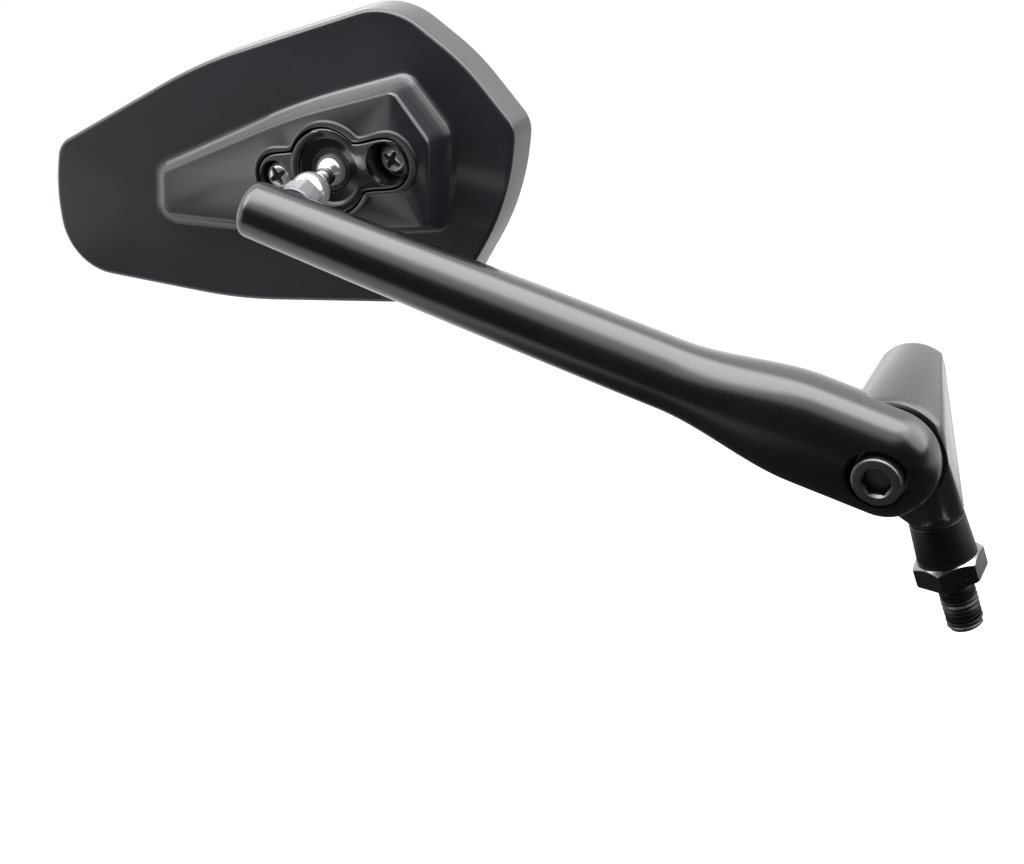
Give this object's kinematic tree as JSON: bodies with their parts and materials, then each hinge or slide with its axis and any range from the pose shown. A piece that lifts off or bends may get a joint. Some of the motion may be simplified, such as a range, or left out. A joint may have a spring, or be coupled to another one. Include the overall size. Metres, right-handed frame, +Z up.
{
  "type": "motorcycle rear view mirror",
  "caption": "Folding handlebar mirror: kite-shaped head on a ball joint, tapered arm with a half-lap pivot, and a threaded stem with lock nut.",
  "frame": {"origin": "on the stem axis, in the plane where the lock nut seats on the handlebar clamp's mirror boss", "axes": "+Z up the stem; -Y towards the pivot bolt head and the back of the mirror head; -X along the arm towards the head"},
  "size_m": [0.2566, 0.0655, 0.1834],
  "materials": {
    "dark_steel": "satin black zinc",
    "nut_steel": "satin black",
    "black_nylon": "matt",
    "base_black": "satin anodised",
    "bolt_steel": "black oxide",
    "spring_steel": "bright",
    "bronze": "plain",
    "friction_ring": "matt",
    "arm_black": "gloss anodised",
    "chrome_stud": "polished",
    "zinc_washer": "bright",
    "seat_nylon": "matt",
    "clamp_black": "gloss",
    "chrome_screw": "polished",
    "insert_brass": "knurled",
    "housing_black": "satin gloss",
    "carrier_black": "matt",
    "pad_foam": "foam",
    "mirror_silver": "convex mirror"
  },
  "bodies": {
    "mount_stem": {"stem_adapter": "dark_steel", "lock_nut": "nut_steel", "swivel_washer": "black_nylon"},
    "base": {"base_knuckle": "base_black", "base_set_screw": "bolt_steel", "pivot_bolt": "bolt_steel", "disc_springs": "spring_steel", "friction_washer": "friction_ring"},
    "folding_arm": {"arm": "arm_black", "pivot_bush": "bronze", "ball_stud": "chrome_stud", "stud_washer": "zinc_washer"},
    "rear_seat": {"ball_seat_rear": "seat_nylon"},
    "front_seat": {"ball_seat_front": "seat_nylon"},
    "head": {"ball_clamp": "clamp_black", "clamp_screws": "chrome_screw", "clamp_inserts": "insert_brass", "mirror_housing": "housing_black", "glass_carrier": "carrier_black", "glass_pad": "pad_foam", "mirror_glass": "mirror_silver"}
  },
  "joints": [
    {"name": "base_swivel", "type": "hinge", "parent": "mount_stem", "child": "base", "pos_m": [0, 0, 0.025], "axis": [0, 0, 1], "continuous": true},
    {"name": "arm_fold", "type": "hinge", "parent": "base", "child": "folding_arm", "pos_m": [0, -0.0168, 0.04485], "axis": [0, 1, 0], "range_deg": [-40, 100]},
    {"name": "head_pan", "type": "hinge", "parent": "folding_arm", "child": "rear_seat", "pos_m": [-0.14725, 0.0128, 0.13021], "axis": [0, 0.1908, 0.9816], "range_deg": [-12, 12]},
    {"name": "head_spin", "type": "hinge", "parent": "rear_seat", "child": "front_seat", "pos_m": [-0.14725, 0.0128, 0.13021], "axis": [0, -0.9816, 0.1908], "range_deg": [-20, 20]},
    {"name": "head_tilt", "type": "hinge", "parent": "front_seat", "child": "head", "pos_m": [-0.14725, 0.0128, 0.13021], "axis": [1, 0, 0], "range_deg": [-8, 30]}
  ]
}
